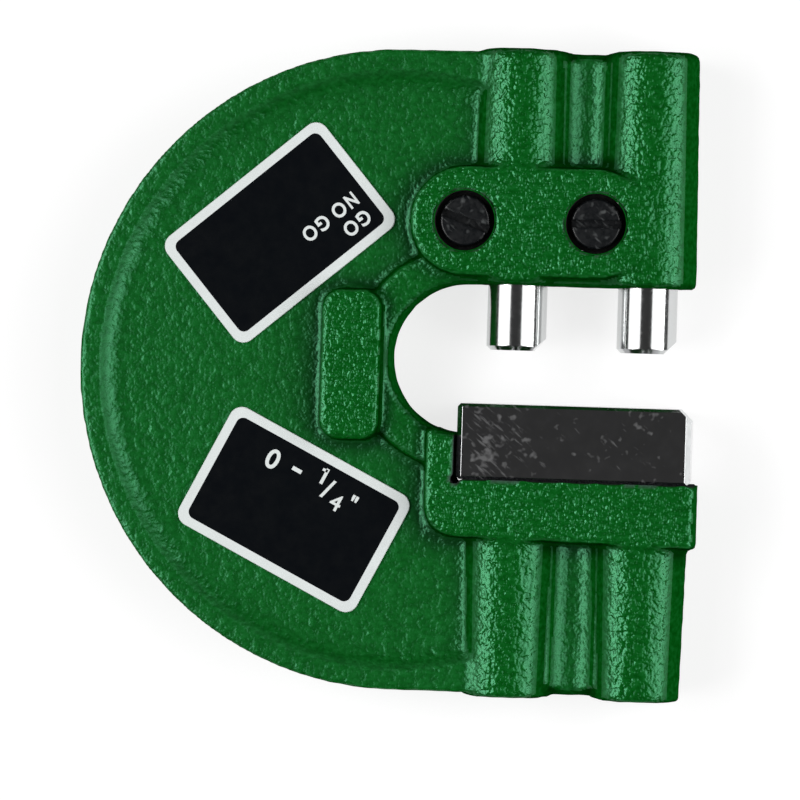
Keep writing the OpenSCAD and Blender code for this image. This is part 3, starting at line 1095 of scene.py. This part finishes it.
@dataclass
class GaugingPin:
    """A ground pin with chamfered ends and a lead-in bevel on the side that the work enters from.

    Attributes:
        side: Which pin it is.
        edge: Width of the chamfer round each end.
        lead_in: Width of the bevel.
        rings: Rings of points on the lower end, on its chamfer and on the wall above it.
        steps: Points round the pin.
        crease: Angle between faces above which an edge stays sharp.
    """

    side: Side
    edge: float = 0.45 * MM
    lead_in: float = 1.35 * MM
    rings: tuple[int, int, int] = (14, 5, 24)
    steps: int = 192
    crease: float = math.radians(25)

    def build(self, steel: Material) -> Object:
        """Turn the pin's profile round its axis and lift its lower end to the bevel's plane: z is at least
        x - (r - lead_in).

        Args:
            steel: Its material.

        Returns:
            The piece.
        """
        node = f"{self.side.value}_pin"
        box = NodeBox.of(node)
        r, length = box.size.x / 2, box.size.y
        turns = ((0, 0), (r - self.edge, 0), (r, self.edge), (r, 2 * self.lead_in))
        profile = [np.linspace(a, b, count) for a, b, count in zip(turns, turns[1:], self.rings)]
        profile.append(np.array([[r, length - self.edge], [r - self.edge, length], [0, length]]))
        pin = turned(np.concatenate(profile), self.steps)
        bevel = pin.points[:, 0] - (r - self.lead_in)
        pin.points[:, 2] = np.maximum(pin.points[:, 2], bevel)
        turn = Matrix.Translation((box.centre.x, box.lo.y, box.centre.z)) @ Matrix.Rotation(-math.pi / 2, 4, "X")
        obj = pin.placed(turn).to_object(f"{node}_ground", self.crease)
        fit(obj, node, Slot.STEEL, steel)
        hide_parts(node)
        return obj


@dataclass
class GroundBlock:
    """The anvil block: a copy of the CAD block with its edges eased, as a stone leaves them after grinding.

    Attributes:
        node: CAD node that it is a copy of.
        ease: Width of the eased edges.
        segments: Faces across an eased edge.
        weld: Distance within which points are joined.
        flat: Angle between triangles below which they are one face.
        crease: Angle between faces above which an edge is eased.
        straight: Share of a face's direction along an axis below which the face is a chamfer.
        smear_in: Distance of the smear of dust from the block's inner end.
    """

    node: str = "anvil_block"
    ease: float = 0.03 * MM
    segments: int = 3
    weld: float = 0.001 * MM
    flat: float = math.radians(1)
    crease: float = math.radians(25)
    straight: float = 0.95
    smear_in: float = 4.5 * MM

    @property
    def smear_at(self) -> Triple:
        """Middle of the smear of dust on the front face."""
        box = NodeBox.of(self.node)
        return box.lo.x + self.smear_in, box.centre.y, box.hi.z

    def build(self, steel: Material, chamfer_steel: Material) -> Object:
        """Copy the block, join its triangles to whole faces and round its edges.

        Args:
            steel: Its material.
            chamfer_steel: The material of its outer chamfers, which are ground but not lapped.

        Returns:
            The piece.
        """
        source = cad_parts[self.node]
        mesh = source.data.copy()
        mesh.transform(source.matrix_world)
        shell = bmesh.new()
        shell.from_mesh(mesh)
        bmesh.ops.remove_doubles(shell, verts=shell.verts, dist=self.weld)
        bmesh.ops.dissolve_limit(shell, angle_limit=self.flat, verts=shell.verts, edges=shell.edges)
        shell.to_mesh(mesh)
        shell.free()
        obj = linked(f"{self.node}_ground", mesh)
        fit(obj, "frame", Slot.STEEL, steel, chamfer_steel)
        normals = face_vectors(mesh, "normal")
        slanted = (np.abs(normals).max(axis=1) < self.straight) & (normals[:, 0] > 0)
        mesh.polygons.foreach_set("material_index", slanted.astype(np.int32))
        mesh.shade_smooth()
        mesh.set_sharp_from_angle(angle=self.crease)
        bevel = obj.modifiers.new("eased_edges", "BEVEL")
        bevel.width, bevel.segments = self.ease, self.segments
        bevel.limit_method, bevel.angle_limit = "ANGLE", self.crease
        bevel.harden_normals = True
        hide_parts(self.node)
        return obj


@dataclass
class SlottedHead:
    """Head of a slotted screw, drawn in strips along its slot.

    Attributes:
        r: Radius of the head.
        height: Height of the head.
        slot_w: Width of the slot.
        slot_h: Depth of the slot.
        edge: Radius of the rim.
        lip: Width of the slot's eased edges.
        strips: Lines of points from the slot out to the rim.
        rows: Points along a line.
    """

    r: float
    height: float
    slot_w: float
    slot_h: float
    edge: float = 0.3 * MM
    lip: float = 0.12 * MM
    strips: int = 22
    rows: int = 40

    def surface(self) -> Surface:
        """Points at x across the slot and y = t sqrt(r^2 - x^2) along it; the top falls off as a quarter circle
        towards the rim, and the strips in the slot lie on its floor. A skirt closes the side.

        Returns:
            The head, standing on the origin along +Z with its slot along Y.
        """
        half, lip = self.slot_w / 2, self.lip
        out = self.r * np.sin(np.linspace(math.asin((half + lip) / self.r), math.pi / 2, self.strips))
        right = np.concatenate([[half, half, half + lip], out[1:]])
        floor = np.arange(len(right)) == 0
        x, floor = np.concatenate([-right[::-1], right]), np.concatenate([floor[::-1], floor])
        t = np.sin(np.linspace(-math.pi / 2, math.pi / 2, self.rows))
        px = np.broadcast_to(x[:, None], (len(x), len(t)))
        py = np.sqrt(np.maximum(self.r**2 - px**2, 0)) * t
        fall = np.clip((np.hypot(px, py) - self.r + self.edge) / self.edge, 0, 1)
        top = self.height - self.edge * (1 - np.sqrt(1 - fall**2))
        corner = (np.abs(np.abs(px) - half) < lip / 2) * lip / 2
        pz = np.where(floor[:, None], self.height - self.slot_h, top - corner)
        grid = np.stack([px, py, pz], axis=-1)
        head = Surface(grid.reshape(-1, 3), grid_quads(*px.shape)[:, ::-1])
        loop = np.concatenate([grid[:, 0], grid[::-1, -1]])
        skirt = Surface(np.concatenate([loop * [1, 1, 0], loop]), grid_quads(2, len(loop), wrap=True))
        return head.joined(skirt)


@dataclass
class ClampScrew:
    """Slotted screw of a split clamp, down in its bore.

    Attributes:
        side: Which clamp it belongs to.
        slot_turn: Angle of the slot from X.
        head_h: Height of the head.
        slot: Width and depth of the slot.
        shank_r: Radius of the shank.
    """

    side: Side
    slot_turn: float
    head_h: float = 1.6 * MM
    slot: float = 0.8 * MM
    shank_r: float = 1.5 * MM

    def build(self, black: Material) -> Object:
        """Make head and shank as one piece in place of the CAD screw.

        Args:
            black: Its material.

        Returns:
            The piece.
        """
        node = f"{self.side.value}_clamp_screw"
        box = NodeBox.of(node)
        head = SlottedHead(box.size.x / 2, self.head_h, self.slot, self.slot).surface()
        shank_l = box.size.z - self.head_h
        shank = turned(np.array([[0, -shank_l], [self.shank_r, -shank_l], [self.shank_r, 0], [box.size.x / 2, 0]]))
        place = Matrix.Translation((box.centre.x, box.centre.y, box.hi.z - self.head_h))
        turn = Matrix.Rotation(self.slot_turn - math.pi / 2, 4, "Z")
        obj = head.joined(shank).placed(place @ turn).to_object(f"{node}_blackened")
        fit(obj, node, Slot.BLACK, black)
        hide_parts(node)
        return obj


@dataclass
class BoreLip:
    """Enamelled lip and near-black wall at the mouth of a clamp's bore, turned round the bore's axis; the wall's black
    is painted shade.

    Attributes:
        side: Which clamp it belongs to.
        mouth: Height of the land that the bore opens in.
        room: Gap round the clamp.
        depth: Depth of the wall.
        flare: Radius of the lip.
        stand: How far the lip stands above the land.
        facets: Points across the lip.
        steps: Points round the bore.
    """

    side: Side
    mouth: float
    room: float = 0.015 * MM
    depth: float = 2.0 * MM
    flare: float = 0.12 * MM
    stand: float = 0.02 * MM
    facets: int = 7
    steps: int = 128

    def build(self, metal: Material, enamel: Material) -> Object:
        """Make the lip and wall.

        Args:
            metal: Material of the wall, near-black as painted shade.
            enamel: Material of the lip.

        Returns:
            The piece.
        """
        clamp = NodeBox.of(f"{self.side.value}_clamp_nut")
        r = clamp.size.x / 2 + self.room
        lip = quarter((r + self.flare, self.stand - self.flare), self.flare, 90, 180, self.facets)
        surface = turned(np.concatenate([lip, [[r, -self.depth]]])[::-1], self.steps)
        surface.quads = surface.quads[:, ::-1]
        place = Matrix.Translation((clamp.centre.x, clamp.centre.y, self.mouth))
        obj = surface.placed(place).to_object(f"{self.side.value}_clamp_bore")
        fit(obj, "frame", Slot.BLACK, metal, enamel)
        on_lip = np.arange(len(surface.quads)) >= self.steps
        obj.data.polygons.foreach_set("material_index", on_lip.astype(np.int32))
        return obj


@dataclass(frozen=True)
class Lettering:
    """A word on a label.

    Attributes:
        text: The characters.
        at: Middle of the word from the label's centre.
        height: Height of a capital.
        bold: How far the strokes are widened on each side.
        wide: Stretch along the base line.
    """

    text: str
    at: Span
    height: float
    bold: float = 0.06 * MM
    wide: float = 1.0

    def mesh(self, name: str, height: float) -> bpy.types.Mesh:
        """Make the word as a flat mesh about its middle.

        Args:
            name: Name of the mesh.
            height: Height above the label's foot.

        Returns:
            The mesh, in the label's axes.
        """
        curve = bpy.data.curves.new(name, "FONT")
        curve.body, curve.size, curve.offset = self.text, self.height / CAPITAL, self.bold
        text = linked(name, curve)
        mesh = bpy.data.meshes.new_from_object(text.evaluated_get(bpy.context.evaluated_depsgraph_get()))
        bpy.data.objects.remove(text)
        flat = np.empty(3 * len(mesh.vertices), dtype=np.float32)
        mesh.vertices.foreach_get("co", flat)
        corners = flat.reshape(-1, 3)
        middle = (corners.min(axis=0) + corners.max(axis=0)) / 2
        to_middle = Matrix.Translation((-middle[0], -middle[1], 0))
        mesh.transform(Matrix.Translation((*self.at, height)) @ Matrix.Diagonal((self.wide, 1, 1, 1)) @ to_middle)
        return mesh


@dataclass
class LabelPlate:
    """A thin printed plate on the web: a black field inside a pale border, with lettering.

    Attributes:
        node: CAD node that it takes the place of.
        turn: Angle of its base line from X.
        words: Its lettering.
        length: Length along the base line.
        width: Width across it.
        corner: Radius of its corners.
        corner_steps: Points on a corner.
        border: Width of the border.
        field_corner: Radius of the field's corners.
        soft: Width of the eased edges.
        lift: How far the field stands above the plate, and the letters above the field.
    """

    node: str
    turn: float
    words: tuple[Lettering, ...]
    length: float = 21.6 * MM
    width: float = 14.1 * MM
    corner: float = 1.4 * MM
    corner_steps: int = 12
    border: float = 1.0 * MM
    field_corner: float = 0.8 * MM
    soft: float = 0.05 * MM
    lift: float = 0.012 * MM

    def outline(self, inset: float, corner: float) -> Array:
        """Points of a rounded rectangle: an arc about each corner's centre, joined by straight sides.

        Args:
            inset: Distance inside the plate's edge.
            corner: Corner radius.

        Returns:
            One row a point, counter-clockwise.
        """
        hx, hy = self.length / 2 - inset - corner, self.width / 2 - inset - corner
        centres = np.array([[hx, hy], [-hx, hy], [-hx, -hy], [hx, -hy]])
        a = np.linspace(0, math.pi / 2, self.corner_steps) + np.arange(4)[:, None] * math.pi / 2
        return (centres[:, None] + corner * np.stack([np.cos(a), np.sin(a)], axis=-1)).reshape(-1, 2)

    def sheet(self, name: str, rings: list[Triple]) -> Object:
        """Carry a profile round the plate's outline, ring by ring, and close the last ring towards the middle.

        Args:
            name: Name of the object.
            rings: Inset, corner radius and height of each ring.

        Returns:
            The object, not yet in place.
        """
        loops = [np.insert(self.outline(inset, corner), 2, height, axis=1) for inset, corner, height in rings]
        grid = np.stack([*loops, loops[-1] * [0, 0, 1]])
        return Surface(grid.reshape(-1, 3), grid_quads(*grid.shape[:2], wrap=True)).to_object(name)

    def build(self, pale: Material, black: Material) -> list[Object]:
        """Make the plate, its field and its lettering.

        Args:
            pale: Material of border and letters.
            black: Material of the field.

        Returns:
            The pieces.
        """
        box = NodeBox.of(self.node)
        t, soft, corner = box.size.z, self.soft, self.corner
        place = Matrix.Translation((box.centre.x, box.centre.y, box.lo.z)) @ Matrix.Rotation(self.turn, 4, "Z")
        outer = [(0, corner, 0), (0, corner, t - soft), (soft, corner, t), (2 * soft, corner, t)]
        plate = self.sheet(f"{self.node}_plate", outer)
        edges = ((0, self.lift / 2), (soft, self.lift), (2 * soft, self.lift))
        inner = [(self.border + inset, self.field_corner, t + rise) for inset, rise in edges]
        ground = self.sheet(f"{self.node}_field", inner)
        made = [plate, ground]
        for number, word in enumerate(self.words):
            name = f"{self.node}_letters_{number}"
            made.append(linked(name, word.mesh(name, t + 2 * self.lift)))
        for obj in made:
            obj.data.transform(place)
            fit(obj, "frame", Slot.LABEL, black if obj is ground else pale)
        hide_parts(self.node)
        return made


# Letters of the two labels; the second stroke of the range label is the flag of its one
LIMIT_WORDS = tuple(
    Lettering(letter, (x * MM, y * MM), 1.5 * MM, wide=wide)
    for letter, x, y, wide in (
        ("G", -8.0, 4.38, 0.9),
        ("O", -6.27, 4.38, 0.88),
        ("N", -8.12, 2.08, 0.75),
        ("O", -6.45, 2.08, 0.88),
        ("G", -4.26, 2.08, 0.9),
        ("O", -2.52, 2.08, 0.88),
    )
)
RANGE_WORDS = (
    Lettering("0", (-4.49 * MM, 3.64 * MM), 2.05 * MM),
    Lettering("-", (-1.68 * MM, 3.85 * MM), 2.4 * MM, wide=1.15),
    Lettering("1", (1.22 * MM, 4.68 * MM), 1.7 * MM),
    Lettering("-", (0.98 * MM, 5.28 * MM), 1.3 * MM),
    Lettering("/", (2.18 * MM, 3.68 * MM), 2.1 * MM),
    Lettering("4", (3.6 * MM, 2.84 * MM), 1.75 * MM, bold=0.03 * MM),
    Lettering('"', (5.21 * MM, 4.14 * MM), 1.6 * MM),
)


# Studio


@dataclass
class Softbox:
    """A long area lamp beside the gauge, seen from it between two angles off the vertical.

    Attributes:
        name: Name of the lamp.
        angle: Middle angle from +Z towards +X, in degrees.
        spread: Angle that its width covers, in degrees.
        radiance: Brightness of its face.
        length: Length along Y.
        distance: Distance from the gauge.
    """

    name: str
    angle: float
    spread: float
    radiance: float
    length: float = 0.7
    distance: float = 0.8

    def build(self) -> Object:
        """Make the lamp.

        Returns:
            The lamp.
        """
        lamp = bpy.data.lights.new(self.name, "AREA")
        lamp.shape = "RECTANGLE"
        lamp.size = 2 * self.distance * math.tan(math.radians(self.spread / 2))
        lamp.size_y = self.length
        lamp.energy = self.radiance * math.pi * lamp.size * lamp.size_y
        obj = linked(self.name, lamp)
        turn = Matrix.Rotation(math.radians(self.angle), 4, "Y")
        obj.matrix_world = turn @ Matrix.Translation((0, 0, self.distance))
        return obj


@dataclass
class Studio:
    """Camera, lamps, world and a pale floor.

    Attributes:
        camera_at: Place of the camera.
        camera_turns: Its turns about X, Y and Z, in degrees.
        lens: Focal length in millimetres.
        sensor: Width of the sensor in millimetres.
        clip: Nearest and farthest distance that it sees.
        floor_size: Side of the floor.
        floor_drop: How far the floor lies below the gauge.
        floor_tone: Share of the light that the floor throws back.
        floor_glow: Brightness that it has of its own where it is seen.
        ambient: Brightness of the surroundings.
        lamps: The lamps.
    """

    camera_at: Triple = (42.15 * MM, 1.66 * MM, 455.2 * MM)
    camera_turns: Triple = (-0.62, 5.2, 1.71)
    lens: float = 191.07
    sensor: float = 36.0
    clip: Span = (0.01, 20.0)
    floor_size: float = 6.0
    floor_drop: float = 0.05 * MM
    floor_tone: float = 0.3
    floor_glow: float = 0.76
    ambient: float = 0.04
    lamps: tuple[Softbox, ...] = (
        Softbox("left_softbox", -44, 18, 6.2),
        Softbox("left_softbox_low", -62.5, 17, 1.8),
        Softbox("left_softbox_top", -29, 14, 1.8),
        Softbox("right_softbox", 50, 18, 3.8),
        Softbox("right_softbox_low", 65, 12, 5.0),
        Softbox("right_softbox_top", 31.5, 19, 1.8),
    )

    def camera(self) -> None:
        """Place the camera as the photograph was taken."""
        data = bpy.data.cameras.new("camera")
        data.lens, data.sensor_width = self.lens, self.sensor
        data.clip_start, data.clip_end = self.clip
        obj = linked("camera", data)
        x, y, z = (math.radians(a) for a in self.camera_turns)
        turn = Matrix.Rotation(y, 4, "Y") @ Matrix.Rotation(x, 4, "X") @ Matrix.Rotation(z, 4, "Z")
        obj.matrix_world = Matrix.Translation(self.camera_at) @ turn
        bpy.context.scene.camera = obj

    def floor(self) -> None:
        """Lay a pale floor that keeps the gauge's shadow and is white where it is lit."""
        half, low = self.floor_size / 2, -self.floor_drop
        corners = np.array([[-half, -half, low], [half, -half, low], [half, half, low], [-half, half, low]])
        obj = Surface(corners, np.array([[0, 1, 2, 3]])).to_object("floor")
        tree = NodeTree("floor")
        rays = tree.add("ShaderNodeLightPath").outputs
        seen = rays["Is Camera Ray"]
        for kind in ("Is Glossy Ray", "Is Transmission Ray"):
            seen = tree.maths("MAXIMUM", seen, rays[kind])
        tree.set_shader(
            Base_Color=(*(self.floor_tone,) * 3, 1),
            Roughness=1.0,
            Emission_Color=(1, 1, 1, 1),
            Emission_Strength=tree.maths("MULTIPLY", seen, self.floor_glow),
        )
        obj.data.materials.append(tree.material)

    def world(self) -> None:
        """Fill the surroundings with a dim grey."""
        world = bpy.data.worlds.new("room")
        world.use_nodes = True
        background = world.node_tree.nodes["Background"]
        background.inputs["Color"].default_value = (1, 1, 1, 1)
        background.inputs["Strength"].default_value = self.ambient
        bpy.context.scene.world = world

    def build(self) -> None:
        """Set up the whole studio."""
        self.camera()
        self.floor()
        self.world()
        for lamp in self.lamps:
            lamp.build()
        bpy.context.scene.view_settings.view_transform = "Standard"


def main() -> None:
    """Build every piece and the studio."""
    logging.basicConfig(level=logging.INFO, format="%(name)s: %(message)s")
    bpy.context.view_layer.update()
    casting, block = CastFrame(), GroundBlock()
    enamel = Enamel().build()
    wall_enamel = Enamel("green_enamel_walls", gloss=0.0, gloss_roughness=0.5, web_roughness=0.5).build()
    steel = Metal("ground_steel", (0.62, 0.63, 0.63), roughness=0.14, spread=0.05, stretch=(1.0, 0.25, 1.0)).build()
    block_steel = Metal(
        "lapped_steel",
        (0.60, 0.60, 0.61),
        roughness=0.11,
        spread=0.03,
        mark=1.5 * MM,
        mark_depth=0.0001 * MM,
        dust=Dust((0.15, 0.16, 0.16), 0.82, 0.22, block.smear_at),
    ).build()
    chamfer_steel = Metal("chamfer_steel", (0.72, 0.74, 0.74), roughness=0.42, mark_depth=0.004 * MM).build()
    black = Metal(
        "black_oxide",
        (0.004, 0.005, 0.006),
        metallic=0.0,
        roughness=0.3,
        mark_depth=0.015 * MM,
        dust=Dust((0.16, 0.17, 0.17), 0.76),
    ).build()
    # Near-black: the real finish of the clamp nuts and bushings, and painted shade on the walls of the clamp bores.
    black_and_bore_shade = Metal("black_and_bore_shade", (0.004, 0.004, 0.004), metallic=0.0, roughness=0.8).build()
    pale = Print("label_white", (0.79, 0.84, 0.83), (0.74, 0.78, 0.77)).build()
    ink = Print("label_black", (0.0020, 0.0030, 0.0045), (0.0034, 0.0044, 0.0055), 0.13).build()

    casting.build(enamel, wall_enamel)
    block.build(block_steel, chamfer_steel)
    for side, slot_turn in ((Side.NO_GO, -20), (Side.GO, 0)):
        GaugingPin(side).build(steel)
        ClampScrew(side, math.radians(slot_turn)).build(black)
        BoreLip(side, casting.box.hi.z).build(black_and_bore_shade, wall_enamel)
    for node, turn, words in (("limit_label", 220, LIMIT_WORDS), ("range_label", -27, RANGE_WORDS)):
        LabelPlate(node, math.radians(turn), words).build(pale, ink)
    for node in ("go_adjusting_screw", "no_go_adjusting_screw", "inner_anvil_screw", "outer_anvil_screw"):
        carry_over(node, black)
    for side in Side:
        for kind in ("clamp_bushing", "clamp_nut"):
            carry_over(f"{side.value}_{kind}", black_and_bore_shade)
    Studio().build()
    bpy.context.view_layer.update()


if __name__ == "__main__":
    main()
